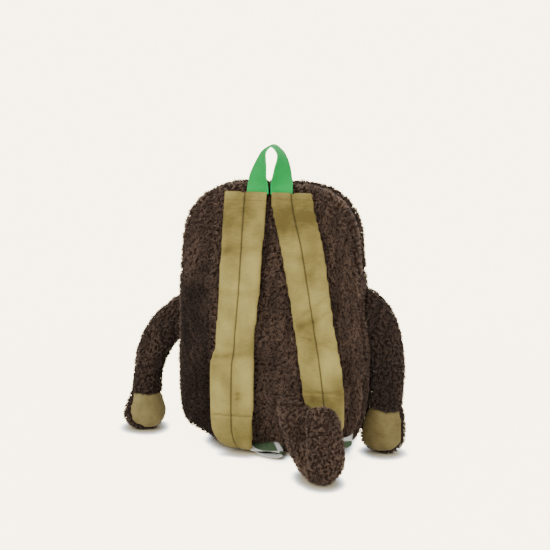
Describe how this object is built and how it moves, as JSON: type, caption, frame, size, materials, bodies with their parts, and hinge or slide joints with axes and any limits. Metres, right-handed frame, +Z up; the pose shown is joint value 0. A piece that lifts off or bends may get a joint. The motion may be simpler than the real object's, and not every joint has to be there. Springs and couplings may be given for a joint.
{
  "type": "backpack",
  "caption": "Child's plush backpack in the shape of a monkey, with padded shoulder straps, a grab handle, stuffed arms and an upturned tail.",
  "frame": {"origin": "middle of the flat base of the bag, on the ground", "axes": "+Z up, -Y towards the strap side, +Y towards the face, +X to the right as seen from the strap side"},
  "size_m": [0.3529, 0.2186, 0.3605],
  "materials": {
    "brown_plush": "tufted sherpa pile",
    "khaki_velour": "short brushed pile",
    "green_webbing": "woven webbing",
    "leaf_tape": "woven tape, printed with leaf shapes",
    "zip_tape": "woven tape with a moulded coil",
    "dark_metal": "satin",
    "black_eye": "polished"
  },
  "bodies": {
    "root": {"back_panel": "brown_plush", "front_panel": "brown_plush", "side_gusset": "brown_plush", "zip_strip_back": "brown_plush", "zip_strip_front": "brown_plush", "zip": "zip_tape", "zip_slider": "dark_metal", "strap_left": "khaki_velour", "strap_right": "khaki_velour", "lower_tape_left": "leaf_tape", "lower_tape_right": "leaf_tape", "grab_handle": "green_webbing", "arm_left": "brown_plush", "palm_left": "khaki_velour", "arm_right": "brown_plush", "palm_right": "khaki_velour", "tail": "brown_plush", "face_patch": "khaki_velour", "muzzle": "khaki_velour", "eye_left": "black_eye", "eye_right": "black_eye"}
  },
  "joints": []
}
